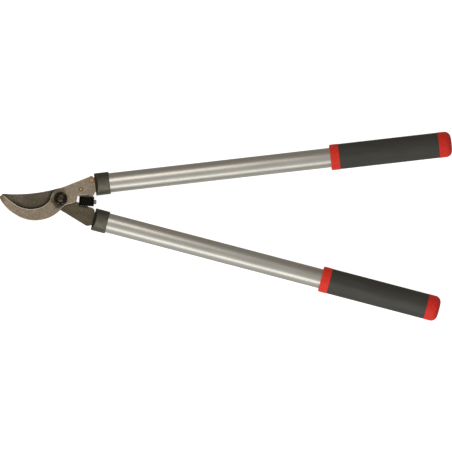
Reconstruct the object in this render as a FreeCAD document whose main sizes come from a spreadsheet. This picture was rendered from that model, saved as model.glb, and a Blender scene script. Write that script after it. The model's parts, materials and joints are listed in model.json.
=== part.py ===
"""Bypass loppers: two forged arms on a pivot bolt, each held in a tubular aluminium handle.

Working frame: the pivot's axis is Z, the contact plane between the two plates is Z = 0, and +X runs
from the blades to the handles along the line that halves the angle between the closed handles.
Everything is moved at the end so that the row's origin is the bottom centre of the whole tool's box.
Each handle's pieces are drawn along +X from the mouth of its collar and then placed on their arm.
"""

import FreeCAD, Part
import math
import os

import Sketcher
from FreeCAD import Placement, Rotation, Vector

SIZES = {
    # the two plates
    "plate_clearance": 0.1,
    "hook_thickness": 5.0,
    "blade_thickness": 4.5,
    "edge_land": 0.4,
    "hook_edge_break": 0.9,
    "tang_length": 62.0,
    "tang_half_width": 9.4,
    "tang_shoulder": 2.8,
    "tang_nose": 3.0,
    "slot_clearance": 0.05,
    "cut_margin": 1.0,
    # pivot, from the bolt's head up to its nut
    "shoulder_radius": 6.0,
    "blade_bore_radius": 6.05,
    "shank_radius": 5.0,
    "hook_bore_radius": 5.1,
    "washer_radius": 10.5,
    "washer_thickness": 1.5,
    "head_height": 6.4,
    "hex_corner_radius": 9.25,
    "hex_flat_radius": 8.0,
    "hex_corner_drop": 1.0,
    "lock_washer_thickness": 1.0,
    "lock_washer_rim_radius": 8.3,
    "lock_tooth_reach": 9.8,
    "lock_tooth_root": 1.2,
    "lock_tooth_tip": 0.8,
    "lock_tooth_overlap": 0.5,
    "lock_tooth_count": 16,
    "nut_height": 8.0,
    "nut_bore_radius": 5.02,
    "thread_end": 1.8,
    "thread_point": 1.2,
    # stop between the tangs
    "sheet_thickness": 2.5,
    "bracket_depth": 9.5,
    "bracket_left": 27.6,
    "bracket_right": 49.6,
    "ear_thickness": 2.2,
    "ear_top": 1.5,
    "ear_slope": 1.4,
    "ear_overlap": 0.5,
    "web_bottom": 4.0,
    "web_corner": 1.5,
    "fold_radius": 2.2,
    "ear_corner": 2.0,
    "bumper_top": 3.98,
    "bumper_bottom": -8.45,
    "bumper_low": -9.3,
    "bumper_high": 2.3,
    "bumper_edge": 1.6,
    "bumper_clearance": 0.1,
    "stop_pin_y": -1.9,
    "stop_pin_z": -3.6,
    "stop_pin_radius": 2.0,
    "stop_pin_hole_radius": 2.05,
    "stop_pin_head_radius": 3.2,
    "stop_pin_head_length": 3.8,
    "stop_pin_head_corner": 1.1,
    "lug_left": 26.8,
    "lug_right": 41.0,
    "lug_low": -9.5,
    "lug_high": 2.0,
    "strike_gap": 0.05,
    # rivets that hold the bracket
    "rear_rivet_radius": 2.0,
    "rear_rivet_head": 3.5,
    "front_rivet_radius": 1.6,
    "front_rivet_head": 2.7,
    "rivet_slope": 0.6,
    "rivet_crown": 0.6,
    "rivet_dome": 0.1,
    "rivet_tail": 1.8,
    # handles, measured from the collar's mouth
    "handle_angle": 10.62,
    "upper_mouth_x": 49.8,
    "upper_mouth_y": 24.5,
    "lower_mouth_x": 50.9,
    "lower_mouth_y": -27.4,
    "collar_radius": 16.8,
    "collar_length": 22.0,
    "collar_rim_break": 0.7,
    "collar_wall": 4.4,
    "collar_slot_half_width": 11.4,
    "collar_lip": 5.6,
    "collar_bevel": 4.8,
    "collar_bevel_top": 17.2,
    "tube_radius": 14.7,
    "tube_bore_radius": 13.1,
    "tube_start": 4.4,
    "fitting_bore_radius": 14.75,
    "plug_radius": 13.05,
    "plug_end": 74.0,
    "cross_pin_at": 11.5,
    "cross_pin_radius": 2.5,
    "cross_hole_radius": 2.55,
    "upper_grip_start": 355.0,
    "lower_grip_start": 352.9,
    "ring_length": 13.3,
    "sleeve_length": 149.8,
    "cap_length": 20.1,
    "cap_floor": 9.0,
    "cap_clearance": 0.1,
    "ring_radius": 19.4,
    "ring_corner": 1.2,
    "sleeve_radius": 19.0,
    "sleeve_corner": 0.3,
    "cap_radius": 19.25,
    "cap_corner": 9.4,
    "cap_dome": 1.0,
}

HANDLES = ("upper", "lower")
REAR_RIVET = (44.4, 30.4)
FRONT_RIVET = (29.2, 15.7)

doc = FreeCAD.newDocument("BypassLoppers")
sheet = doc.addObject("Spreadsheet::Sheet", "Sizes")
for row, (alias, value) in enumerate(SIZES.items(), start=1):
    sheet.set(f"A{row}", alias)
    sheet.set(f"B{row}", str(value))
    sheet.setAlias(f"B{row}", alias)
doc.recompute()

PLATE_BOTTOM = "-plate_clearance - blade_thickness"
SHOULDER_BOTTOM = PLATE_BOTTOM + " - plate_clearance - washer_thickness"
HOOK_TOP = "plate_clearance + hook_thickness"
NUT_BOTTOM = HOOK_TOP + " + lock_washer_thickness"


def words_of(length):
    """The cells, numbers and signs of a sum such as 'ring_start + 2'."""
    return length.replace("-", " - ").replace("+", " + ").split()


def amount(length):
    """The value in mm of a sum of cells and numbers."""
    total, sign = 0.0, 1
    for word in words_of(length):
        if word in "+-":
            sign = 1 if word == "+" else -1
        else:
            total += sign * (SIZES[word] if word in SIZES else float(word))
    return total


def bound(length):
    """The same sum as an expression on the spreadsheet's cells."""
    return " ".join(f"Sizes.{word}" if word in SIZES else word for word in words_of(length))


def minus(length):
    """The sum with every sign turned round."""
    return "-" + length.translate(str.maketrans("+-", "-+"))


def new_body(label):
    body = doc.addObject("PartDesign::Body", label)
    body.Label = label
    return body


def new_sketch(body, plane, height="0"):
    """A sketch on one of the body's own origin planes, lifted by height along the plane's normal."""
    sketch = body.newObject("Sketcher::SketchObject", body.Label + "_sketch")
    support = [item for item in body.Origin.OriginFeatures if item.Role == plane + "_Plane"]
    sketch.AttachmentSupport = [(support[0], "")]
    sketch.MapMode = "FlatFace"
    sketch.setExpression("AttachmentOffset.Base.z", bound(height))
    return sketch


def draw_closed_lines(sketch, points):
    """Straight sides from each point to the next and back to the first, joined at their ends."""
    ends = points[1:] + points[:1]
    sides = [sketch.addGeometry(Part.LineSegment(*side)) for side in zip(points, ends)]
    for side, follower in zip(sides, sides[1:] + sides[:1]):
        sketch.addConstraint(Sketcher.Constraint("Coincident", side, 2, follower, 1))
    return sides


def draw_polygon(sketch, corners):
    """A closed outline whose corners are (x, y) pairs of sums of cells, each tied to the sheet."""
    points = [Vector(amount(x), amount(y), 0) for x, y in corners]
    sides = draw_closed_lines(sketch, points)
    for side, (x, y) in zip(sides, corners):
        for kind, length in (("DistanceX", x), ("DistanceY", y)):
            place = sketch.addConstraint(Sketcher.Constraint(kind, -1, 1, side, 1, amount(length)))
            sketch.setExpression(f"Constraints[{place}]", bound(length))


def draw_circle(sketch, radius, centre=(0.0, 0.0)):
    """A circle whose radius is tied to the sheet, fixed at centre."""
    circle = sketch.addGeometry(Part.Circle(Vector(*centre, 0), Vector(0, 0, 1), amount(radius)))
    for kind, place in zip(("DistanceX", "DistanceY"), centre):
        sketch.addConstraint(Sketcher.Constraint(kind, -1, 1, circle, 3, place))
    size = sketch.addConstraint(Sketcher.Constraint("Radius", circle, amount(radius)))
    sketch.setExpression(f"Constraints[{size}]", bound(radius))


def draw_outline(sketch, start, steps):
    """A closed outline from start: each step is (end) for a straight side or (through, end) for an arc."""
    corners = [start] + [end for *_, end in steps]
    sides = []
    for at, (*through, end) in zip(corners, steps):
        ends = [Vector(*point, 0) for point in (at, *through, end)]
        side = Part.Arc(*ends) if through else Part.LineSegment(*ends)
        sides.append(sketch.addGeometry(side))
    for i, side in enumerate(sides):
        follower = sides[(i + 1) % len(sides)]
        corner = Vector(*corners[i + 1], 0)
        meeting = (side, end_at(sketch, side, corner), follower, end_at(sketch, follower, corner))
        sketch.addConstraint(Sketcher.Constraint("Coincident", *meeting))


def end_at(sketch, side, corner):
    """Which end of a side lies at the corner: a sketch keeps every arc anticlockwise, so either may."""
    return 1 if sketch.getPoint(side, 1).distanceToPoint(corner) < 0.001 else 2


def pad(body, sketch, length):
    feature = body.newObject("PartDesign::Pad", body.Label + "_pad")
    feature.Profile = sketch
    feature.setExpression("Length", bound(length))
    sketch.Visibility = False
    return feature


def cut(body, sketch, length=None, both_ways=False, backwards=False):
    """A pocket of the given length, or through everything; it must take material away."""
    doc.recompute()
    before = body.Shape.Volume
    feature = body.newObject("PartDesign::Pocket", body.Label + "_pocket")
    feature.Profile = sketch
    feature.Type = 0 if length else 1
    if length:
        feature.setExpression("Length", bound(length))
    feature.Midplane = both_ways
    feature.Reversed = backwards
    doc.recompute()
    if not body.Shape.Volume < before:
        raise RuntimeError(f"the pocket in {body.Label} cuts nothing")
    return feature


def revolve(body, sketch, axis):
    """The sketch turned once round its own horizontal or vertical axis."""
    feature = body.newObject("PartDesign::Revolution", body.Label + "_turned")
    feature.Profile = sketch
    feature.ReferenceAxis = (sketch, [axis])
    feature.Angle = 360
    sketch.Visibility = False
    return feature


def edges_at(body, belongs):
    """The names of the body's edges whose middle point passes the test."""
    doc.recompute()
    found = []
    for i, edge in enumerate(body.Shape.Edges, start=1):
        middle = edge.valueAt((edge.FirstParameter + edge.LastParameter) / 2)
        if belongs(edge, middle):
            found.append(f"Edge{i}")
    if not found:
        raise RuntimeError(f"no such edge on {body.Label}")
    return found


def soften(body, kind, size, belongs):
    """A Fillet or Chamfer of the given size on the edges that pass the test."""
    names = edges_at(body, belongs)
    base = body.Tip
    feature = body.newObject(f"PartDesign::{kind}", body.Label + "_edge")
    feature.Base = (base, names)
    feature.setExpression("Radius" if kind == "Fillet" else "Size", bound(size))
    return feature


def on_handle(handle, along, across):
    """The working-frame (x, y) of a place on a handle: along its axis from the mouth, and across it."""
    sign = 1 if handle == "upper" else -1
    turn = math.radians(sign * SIZES["handle_angle"])
    x = SIZES[handle + "_mouth_x"] + along * math.cos(turn) - across * math.sin(turn)
    y = SIZES[handle + "_mouth_y"] + along * math.sin(turn) + across * math.cos(turn)
    return x, y


def tang(handle, first_across, first_along, last_across, last_along):
    """Straight sides of a tang: in at its first edge, round its narrower end and back at its last."""
    side = math.copysign(SIZES["tang_half_width"], first_across)
    shoulder = SIZES["tang_shoulder"]
    length = SIZES["tang_length"]
    nose = SIZES["tang_nose"]
    places = (
        (first_along, first_across),
        (shoulder, first_across),
        (shoulder, side),
        (length - nose, side),
        (length, side - math.copysign(nose, side)),
        (length, -side + math.copysign(nose, side)),
        (length - nose, -side),
        (shoulder, -side),
        (shoulder, last_across),
        (last_along, last_across),
    )
    return [(on_handle(handle, along, across),) for along, across in places]


def make_hook_blade():
    """The fixed plate: hooked counter blade, round boss and tang, with its inner edges broken."""
    body = new_body("hook_blade")
    outline = new_sketch(body, "XY", "plate_clearance")
    draw_outline(
        outline,
        (-92.4, -4.3),
        [
            ((-80.8, -19.3), (-66.2, -29.1)),
            ((-36.1, -36.0), (-0.1, -18.1)),
            ((3.4, -13.4),),
            ((8.2, -9.1), (14.2, -7.0)),
            ((21.9, -4.0),),
            ((23.6, -1.4), (24.0, 3.1)),
            ((25.2, 5.1), (28.2, 6.8)),
            ((40.2, 8.3),),
            ((42.5, 7.0),),
            ((47.8, 6.3),),
            *tang("upper", -11.2, -1.1, 10.7, -1.1),
            ((45.7, 36.3),),
            ((43.4, 36.9), (41.2, 36.2)),
            ((-2.6, 15.1),),
            ((-8.0, 12.2), (-11.8, 9.4)),
            ((-14.5, 4.2), (-15.7, -2.0)),
            ((-20.3, -9.6), (-27.6, -15.1)),
            ((-48.0, -19.4), (-69.6, -12.7)),
            ((-79.3, -6.6), (-88.1, 0.0)),
            ((-92.4, -4.3),),
        ],
    )
    pad(body, outline, "hook_thickness")
    holes = new_sketch(body, "XY", HOOK_TOP)
    draw_circle(holes, "hook_bore_radius")
    draw_circle(holes, "rear_rivet_radius", REAR_RIVET)
    draw_circle(holes, "front_rivet_radius", FRONT_RIVET)
    draw_circle(holes, "cross_hole_radius", on_handle("upper", SIZES["cross_pin_at"], 0.0))
    cut(body, holes)
    top = amount(HOOK_TOP)
    jaw_edge = [(-79.3, -6.6), (-48.0, -19.4), (-20.3, -9.6), (-14.5, 4.2), (-8.0, 12.2)]
    tang_edge = [(8.2, -9.1), (18.05, -5.5), (25.2, 5.1), (34.2, 7.55)]
    marks = [Part.Vertex(x, y, top) for x, y in jaw_edge + tang_edge]
    soften(
        body,
        "Chamfer",
        "hook_edge_break",
        lambda edge, middle: any(edge.distToShape(mark)[0] < 0.1 for mark in marks),
    )
    return body


def blade_outline(tip, edge_steps, spine_through):
    """One level of the cutting blade: its cutting edge from the tip, then boss, tang and spine."""
    return [
        *edge_steps,
        ((-6.8, -14.5), (-2.1, -16.1)),
        ((38.5, -37.1),),
        ((42.2, -38.3), (45.6, -37.6)),
        *tang("lower", -9.6, -0.5, 10.4, -1.0),
        ((50.2, -12.3), (47.4, -10.7)),
        ((42.0, -9.4),),
        ((29.4, -8.95),),
        ((27.45, -8.65),),
        ((27.45, -4.3),),
        ((26.7, -3.9),),
        ((24.9, -3.9),),
        ((23.6, -2.8),),
        ((22.9, -2.3),),
        ((15.4, 4.4),),
        ((7.0, 14.0), (-4.4, 15.1)),
        (spine_through, tip),
    ]


def make_cutting_blade():
    """The moving plate: flat on the hook's side, hollow spine, and a bevel ground on its far side."""
    body = new_body("cutting_blade")
    tip, ground_tip = (-88.3, 0.9), (-77.0, 0.95)
    heel = (-11.3, -11.3)
    full = blade_outline(
        tip,
        [((-75.4, -14.7), (-56.0, -22.9)), ((-41.0, -23.9), (-26.0, -19.3)), (heel,)],
        (-46.0, 4.1),
    )
    ground = blade_outline(
        ground_tip,
        [((-68.0, -8.6), (-54.0, -14.6)), ((-41.5, -15.8), (-29.0, -12.9)), (heel,)],
        (-40.0, 5.2),
    )
    levels = (
        ("-plate_clearance", full, tip),
        ("-plate_clearance - edge_land", full, tip),
        (PLATE_BOTTOM, ground, ground_tip),
    )
    land, shoulder, underside = [new_sketch(body, "XY", height) for height, _, _ in levels]
    for sketch, (_, steps, start) in zip((land, shoulder, underside), levels):
        draw_outline(sketch, start, steps)
    pad(body, land, "edge_land").Reversed = True
    doc.recompute()
    loft = body.newObject("PartDesign::AdditiveLoft", "cutting_blade_bevel")
    loft.Profile = shoulder
    loft.Sections = [underside]
    loft.Ruled = True
    holes = new_sketch(body, "XY")
    draw_circle(holes, "blade_bore_radius")
    draw_circle(holes, "cross_hole_radius", on_handle("lower", SIZES["cross_pin_at"], 0.0))
    cut(body, holes)
    return body


def draw_hexagon(sketch, radius):
    """A regular hexagon with two corners on X, its corner radius tied to the sheet by a guide circle."""
    size = amount(radius)
    turns = [i * math.pi / 3 for i in range(6)]
    corners = [Vector(size * math.cos(turn), size * math.sin(turn), 0) for turn in turns]
    sides = draw_closed_lines(sketch, corners)
    guide = sketch.addGeometry(Part.Circle(Vector(), Vector(0, 0, 1), size), True)
    sketch.addConstraint(Sketcher.Constraint("Coincident", guide, 3, -1, 1))
    for side in sides:
        sketch.addConstraint(Sketcher.Constraint("PointOnObject", side, 1, guide))
    for side in sides[1:]:
        sketch.addConstraint(Sketcher.Constraint("Equal", sides[0], side))
    sketch.addConstraint(Sketcher.Constraint("PointOnObject", sides[0], 1, -1))
    reach = sketch.addConstraint(Sketcher.Constraint("Radius", guide, size))
    sketch.setExpression(f"Constraints[{reach}]", bound(radius))


def round_hex_corners(body, face, inward):
    """Turn the hexagon's corners down to a circle on one end, as nuts and bolt heads are made."""
    before = body.Shape.Volume
    outside = "hex_corner_radius + cut_margin"
    lowest = f"{face} {inward} hex_corner_drop"
    sketch = new_sketch(body, "XZ")
    draw_polygon(
        sketch,
        [
            ("hex_flat_radius", face),
            (outside, face),
            (outside, lowest),
            ("hex_corner_radius", lowest),
        ],
    )
    groove = body.newObject("PartDesign::Groove", body.Label + "_groove")
    groove.Profile = sketch
    groove.ReferenceAxis = (sketch, ["V_Axis"])
    groove.Angle = 360
    doc.recompute()
    if not body.Shape.Volume < before:
        raise RuntimeError(f"the groove on {body.Label} cuts nothing")


def make_pivot_bolt():
    """Hex head below, plain shoulder that the blade turns on, and an end with its corner broken."""
    body = new_body("pivot_bolt")
    head = new_sketch(body, "XY", SHOULDER_BOTTOM + " - head_height")
    draw_hexagon(head, "hex_corner_radius")
    pad(body, head, "head_height")
    doc.recompute()
    round_hex_corners(body, SHOULDER_BOTTOM + " - head_height", "+")
    shank = new_sketch(body, "XZ")
    end = NUT_BOTTOM + " + nut_height + thread_end"
    draw_polygon(
        shank,
        [
            ("0", SHOULDER_BOTTOM),
            ("shoulder_radius", SHOULDER_BOTTOM),
            ("shoulder_radius", "plate_clearance"),
            ("shank_radius", "plate_clearance"),
            ("shank_radius", end + " - thread_point"),
            ("shank_radius - thread_point", end),
            ("0", end),
        ],
    )
    revolve(body, shank, "V_Axis")
    return body


def make_pivot_nut():
    body = new_body("pivot_nut")
    sketch = new_sketch(body, "XY", NUT_BOTTOM)
    draw_hexagon(sketch, "hex_corner_radius")
    pad(body, sketch, "nut_height")
    bore = new_sketch(body, "XY", NUT_BOTTOM + " + nut_height")
    draw_circle(bore, "nut_bore_radius")
    cut(body, bore)
    round_hex_corners(body, NUT_BOTTOM + " + nut_height", "-")
    return body


def make_lock_washer():
    """A flat ring with square teeth all round its rim."""
    body = new_body("lock_washer")
    ring = new_sketch(body, "XY", HOOK_TOP)
    draw_circle(ring, "lock_washer_rim_radius")
    draw_circle(ring, "hook_bore_radius")
    pad(body, ring, "lock_washer_thickness")
    root = "lock_washer_rim_radius - lock_tooth_overlap"
    tooth = new_sketch(body, "XY", HOOK_TOP)
    draw_polygon(
        tooth,
        [
            (root, minus("lock_tooth_root")),
            ("lock_tooth_reach", minus("lock_tooth_tip")),
            ("lock_tooth_reach", "lock_tooth_tip"),
            (root, "lock_tooth_root"),
        ],
    )
    first = pad(body, tooth, "lock_washer_thickness")
    doc.recompute()
    teeth = body.newObject("PartDesign::PolarPattern", "lock_washer_teeth")
    teeth.Originals = [first]
    teeth.Axis = (tooth, ["N_Axis"])
    teeth.Angle = 360
    teeth.setExpression("Occurrences", "Sizes.lock_tooth_count")
    body.Tip = teeth
    return body


def make_thrust_washer():
    body = new_body("thrust_washer")
    sketch = new_sketch(body, "XY", SHOULDER_BOTTOM)
    draw_circle(sketch, "washer_radius")
    draw_circle(sketch, "blade_bore_radius")
    pad(body, sketch, "washer_thickness")
    return body


def make_stop_bracket():
    """Folded sheet: a plate riveted under the hook's tang, a web bent down, and an ear at each end."""
    body = new_body("stop_bracket")
    under = "-plate_clearance - sheet_thickness"
    plate = new_sketch(body, "XY", under)
    draw_outline(
        plate,
        (26.6, 5.4),
        [
            ((28.0, 5.0),),
            ((47.4, 5.0),),
            ((48.6, 14.0),),
            ((47.9, 30.5),),
            ((46.7, 33.2), (43.6, 34.0)),
            ((26.4, 20.0),),
            ((24.0, 16.8), (24.6, 13.0)),
            ((26.6, 5.4),),
        ],
    )
    pad(body, plate, "sheet_thickness")
    web = new_sketch(body, "XY", "-plate_clearance - bracket_depth")
    draw_polygon(
        web,
        [
            ("bracket_left", "web_bottom"),
            ("bracket_right", "web_bottom"),
            ("bracket_right", "web_bottom + sheet_thickness - web_corner"),
            ("bracket_right - web_corner", "web_bottom + sheet_thickness"),
            ("bracket_left", "web_bottom + sheet_thickness"),
        ],
    )
    pad(body, web, "bracket_depth")
    ear_root = "web_bottom + ear_overlap"
    ear_foot = "-plate_clearance - bracket_depth"
    for inner in ("bracket_left", "bracket_right - ear_thickness"):
        ear = new_sketch(body, "YZ", inner)
        draw_polygon(
            ear,
            [
                (ear_root, ear_foot),
                (ear_root, "-plate_clearance"),
                ("web_bottom - ear_slope", "ear_top"),
                ("bumper_bottom + ear_corner", "ear_top"),
                ("bumper_bottom", "ear_top - ear_corner"),
                ("bumper_bottom", ear_foot + " + ear_corner"),
                ("bumper_bottom + ear_corner", ear_foot),
            ],
        )
        pad(body, ear, "ear_thickness")
    bend = amount("web_bottom")
    soften(
        body,
        "Fillet",
        "fold_radius",
        lambda edge, middle: abs(middle.y - bend) < 0.01 and middle.z > -0.2 and edge.Length > 10,
    )
    holes = new_sketch(body, "XY")
    draw_circle(holes, "rear_rivet_radius", REAR_RIVET)
    draw_circle(holes, "front_rivet_radius", FRONT_RIVET)
    cut(body, holes)
    bore = new_sketch(body, "YZ")
    draw_circle(bore, "stop_pin_hole_radius", (SIZES["stop_pin_y"], SIZES["stop_pin_z"]))
    cut(body, bore, backwards=True)
    return body


def make_stop_bumper():
    """Rubber block that sits between the bracket's ears, with rounded long edges and a hole for its pin."""
    body = new_body("stop_bumper")
    gap = "ear_thickness + bumper_clearance"
    face = new_sketch(body, "YZ", "bracket_left + " + gap)
    draw_polygon(
        face,
        [
            ("bumper_bottom", "bumper_low"),
            ("bumper_top", "bumper_low"),
            ("bumper_top", "bumper_high"),
            ("bumper_bottom", "bumper_high"),
        ],
    )
    pad(body, face, f"bracket_right - bracket_left {minus(gap)} {minus(gap)}")
    soften(body, "Fillet", "bumper_edge", lambda edge, middle: edge.Length > 12)
    bore = new_sketch(body, "YZ")
    draw_circle(bore, "stop_pin_hole_radius", (SIZES["stop_pin_y"], SIZES["stop_pin_z"]))
    cut(body, bore, backwards=True)
    return body


def make_stop_pin():
    """A pan-headed pin through both ears and the rubber, drawn along +X from the left-hand ear."""
    body = new_body("stop_pin")
    sketch = new_sketch(body, "XY")
    length = "bracket_right - bracket_left"
    end = length + " + stop_pin_head_length"
    draw_polygon(
        sketch,
        [
            ("0", "0"),
            (end, "0"),
            (end, "stop_pin_head_radius - stop_pin_head_corner"),
            (end + " - stop_pin_head_corner", "stop_pin_head_radius"),
            (length, "stop_pin_head_radius"),
            (length, "stop_pin_radius"),
            ("0", "stop_pin_radius"),
        ],
    )
    revolve(body, sketch, "H_Axis")
    body.Placement.Base = Vector(*(SIZES[name] for name in ("bracket_left", "stop_pin_y", "stop_pin_z")))
    return body


def make_strike_lug():
    """A block welded over the edge of the blade's tang, flat where the rubber meets it when closed."""
    body = new_body("strike_lug")
    block = new_sketch(body, "XY", "lug_low")
    face = "bumper_bottom - strike_gap"
    draw_polygon(
        block,
        [
            ("lug_left", face),
            ("lug_left", face + " - 0.9"),
            ("lug_left + 2.7", face + " - 1.7"),
            ("lug_right", face + " - 3.1"),
            ("lug_right", face),
        ],
    )
    pad(body, block, "lug_high - lug_low")
    slot = new_sketch(body, "XY")
    draw_outline(
        slot,
        (25.0, -8.0),
        [
            ((25.0, -15.0),),
            ((43.0, -15.0),),
            ((43.0, -9.36),),
            ((29.4, -8.9),),
            ((28.9, -8.0),),
            ((25.0, -8.0),),
        ],
    )
    cut(body, slot, "blade_thickness + plate_clearance + slot_clearance")
    return body


def make_rivet(label, place, radius, head):
    """A shank through the hook and the bracket, low crown on top and a formed head below."""
    body = new_body(label)
    sketch = new_sketch(body, "XZ")
    under = "-plate_clearance - sheet_thickness"
    draw_polygon(
        sketch,
        [
            ("0", under + " - rivet_tail"),
            (radius, under + " - rivet_tail"),
            (f"{head} + rivet_slope", under),
            (radius, under),
            (radius, HOOK_TOP),
            (head, HOOK_TOP),
            (f"{head} - rivet_slope", HOOK_TOP + " + rivet_crown"),
            ("0", HOOK_TOP + " + rivet_crown + rivet_dome"),
        ],
    )
    revolve(body, sketch, "V_Axis")
    body.Placement.Base = Vector(*place, 0)
    return body


def plate_span(handle):
    """The heights between which that handle's plate lies."""
    if handle == "upper":
        return "plate_clearance", HOOK_TOP
    return PLATE_BOTTOM, "-plate_clearance"


def slot_for_tang(body, handle, half_width, start, end):
    """Cut the room for the plate into a piece of the handle, a little wider than the tang."""
    low, high = plate_span(handle)
    floor, roof = low + " - slot_clearance", high + " + slot_clearance"
    left = minus(half_width)
    sketch = new_sketch(body, "YZ", start)
    draw_polygon(sketch, [(left, floor), (half_width, floor), (half_width, roof), (left, roof)])
    cut(body, sketch, f"{end} - {start}", backwards=True)


def make_collar(handle):
    """Moulded collar: closed mouth with a slot for the tang, bevelled above and below it."""
    body = new_body(f"collar_{handle}")
    sketch = new_sketch(body, "XY")
    draw_polygon(
        sketch,
        [
            ("0", "0"),
            ("0", "collar_radius"),
            ("collar_length - collar_rim_break", "collar_radius"),
            ("collar_length", "collar_radius - collar_rim_break"),
            ("collar_length", "fitting_bore_radius"),
            ("collar_wall", "fitting_bore_radius"),
            ("collar_wall", "0"),
        ],
    )
    revolve(body, sketch, "H_Axis")
    slot_for_tang(body, handle, "collar_slot_half_width", "0", "collar_wall")
    wedges = new_sketch(body, "XZ")
    outside = minus("cut_margin")
    for low, high in (
        ("collar_lip", "collar_bevel_top"),
        (minus("collar_lip"), minus("collar_bevel_top")),
    ):
        draw_polygon(wedges, [(outside, low), ("0", low), ("collar_bevel", high), (outside, high)])
    cut(body, wedges, both_ways=True)
    return body


def make_tang_plug(handle):
    """Plastic plug that fills the tube round the tang, with a hole for the cross pin."""
    body = new_body(f"tang_plug_{handle}")
    sketch = new_sketch(body, "YZ", "tube_start")
    draw_circle(sketch, "plug_radius")
    pad(body, sketch, "plug_end - tube_start")
    half_width, end = "tang_half_width + slot_clearance", "tang_length + slot_clearance"
    slot_for_tang(body, handle, half_width, "tube_start", end)
    hole = new_sketch(body, "XY")
    draw_circle(hole, "cross_hole_radius", (SIZES["cross_pin_at"], 0.0))
    cut(body, hole, both_ways=True)
    return body


def make_tang_pin(handle):
    """Cross pin through tube, plug and tang, flush with the tube under its collar."""
    body = new_body(f"tang_pin_{handle}")
    length = 2 * math.floor(math.sqrt(SIZES["tube_radius"] ** 2 - SIZES["cross_pin_radius"] ** 2))
    sketch = new_sketch(body, "XY", str(-length / 2))
    draw_circle(sketch, "cross_pin_radius", (SIZES["cross_pin_at"], 0.0))
    pad(body, sketch, str(length))
    return body


def grip_places(handle):
    """Where the grip's ring, sleeve and cap start along the handle, where the cap ends, and the tube."""
    ring = f"{handle}_grip_start"
    sleeve = ring + " + ring_length"
    cap = sleeve + " + sleeve_length"
    cap_end = cap + " + cap_length"
    return ring, sleeve, cap, cap_end, cap_end + " - cap_floor"


def make_tube(handle):
    body = new_body(f"tube_{handle}")
    sketch = new_sketch(body, "YZ", "tube_start")
    draw_circle(sketch, "tube_radius")
    draw_circle(sketch, "tube_bore_radius")
    *_, tube_end = grip_places(handle)
    pad(body, sketch, tube_end + " - tube_start")
    hole = new_sketch(body, "XY")
    draw_circle(hole, "cross_hole_radius", (SIZES["cross_pin_at"], 0.0))
    cut(body, hole, both_ways=True)
    return body


def make_grip_band(label, start, end, radius, corner):
    """A turned sleeve on the tube between two places, with the outer corner at its start broken."""
    body = new_body(label)
    sketch = new_sketch(body, "XY")
    draw_polygon(
        sketch,
        [
            (start, "fitting_bore_radius"),
            (start, f"{radius} - {corner}"),
            (f"{start} + {corner}", radius),
            (end, radius),
            (end, "fitting_bore_radius"),
        ],
    )
    revolve(body, sketch, "H_Axis")
    return body


def make_end_cap(handle):
    """Cap over the tube's end: cylindrical skirt, large rounded corner and a slightly domed end."""
    body = new_body(f"end_cap_{handle}")
    _, _, start, end, tube_end = grip_places(handle)
    sketch = new_sketch(body, "XY")
    draw_polygon(
        sketch,
        [
            (start, "fitting_bore_radius"),
            (start, "cap_radius"),
            (end + " - cap_dome", "cap_radius"),
            (end, "0"),
            (tube_end + " + cap_clearance", "0"),
            (tube_end + " + cap_clearance", "fitting_bore_radius"),
        ],
    )
    revolve(body, sketch, "H_Axis")
    rim = amount(end + " - cap_dome")
    radius = amount("cap_radius")

    def on_rim(edge, middle):
        return abs(middle.x - rim) < 0.01 and abs(math.hypot(middle.y, middle.z) - radius) < 0.01

    soften(body, "Fillet", "cap_corner", on_rim)
    return body


def make_handle(handle):
    """All the pieces of one handle, placed on its arm."""
    ring, sleeve, cap, *_ = grip_places(handle)
    pieces = [
        make_collar(handle),
        make_tang_plug(handle),
        make_tang_pin(handle),
        make_tube(handle),
        make_grip_band(f"grip_ring_{handle}", ring, sleeve, "ring_radius", "ring_corner"),
        make_grip_band(f"grip_sleeve_{handle}", sleeve, cap, "sleeve_radius", "sleeve_corner"),
        make_end_cap(handle),
    ]
    turn = SIZES["handle_angle"] if handle == "upper" else -SIZES["handle_angle"]
    for piece in pieces:
        piece.Placement = Placement(Vector(*on_handle(handle, 0, 0), 0), Rotation(Vector(0, 0, 1), turn))
    return pieces


def make_loppers():
    pieces = [
        make_hook_blade(),
        make_cutting_blade(),
        make_pivot_bolt(),
        make_pivot_nut(),
        make_lock_washer(),
        make_thrust_washer(),
        make_stop_bracket(),
        make_stop_bumper(),
        make_stop_pin(),
        make_strike_lug(),
        make_rivet("bracket_rivet_rear", REAR_RIVET, "rear_rivet_radius", "rear_rivet_head"),
        make_rivet("bracket_rivet_front", FRONT_RIVET, "front_rivet_radius", "front_rivet_head"),
    ]
    for handle in HANDLES:
        pieces += make_handle(handle)
    doc.recompute()
    return pieces


def move_to_row_frame(pieces):
    """Shift every piece so that the origin is the bottom centre of the whole tool's box."""
    box = FreeCAD.BoundBox()
    for piece in pieces:
        box.add(piece.Shape.optimalBoundingBox())
    shift = Vector(-box.Center.x, -box.Center.y, -box.ZMin)
    for piece in pieces:
        piece.Placement.move(shift)
    doc.recompute()
    print(f"pivot at {shift.x:.3f}, {shift.y:.3f}, {shift.z:.3f}")
    print(f"size {box.XLength:.2f} x {box.YLength:.2f} x {box.ZLength:.2f}")


def check_and_write(pieces):
    """Refuse to write anything unless every object is sound, then write one STEP file for each piece."""
    for item in doc.Objects:
        if "Invalid" in item.State or "Error" in item.State:
            raise RuntimeError(f"{item.Label} failed: {item.State}")
    for piece in pieces:
        if piece.Shape.isNull() or not piece.Shape.isValid():
            raise RuntimeError(f"{piece.Label} has no valid shape")
        if len(piece.Shape.Solids) != 1:
            raise RuntimeError(f"{piece.Label} has {len(piece.Shape.Solids)} solids")
    os.makedirs("parts", exist_ok=True)
    for piece in pieces:
        piece.Shape.exportStep(f"parts/{piece.Label}.step")


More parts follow.
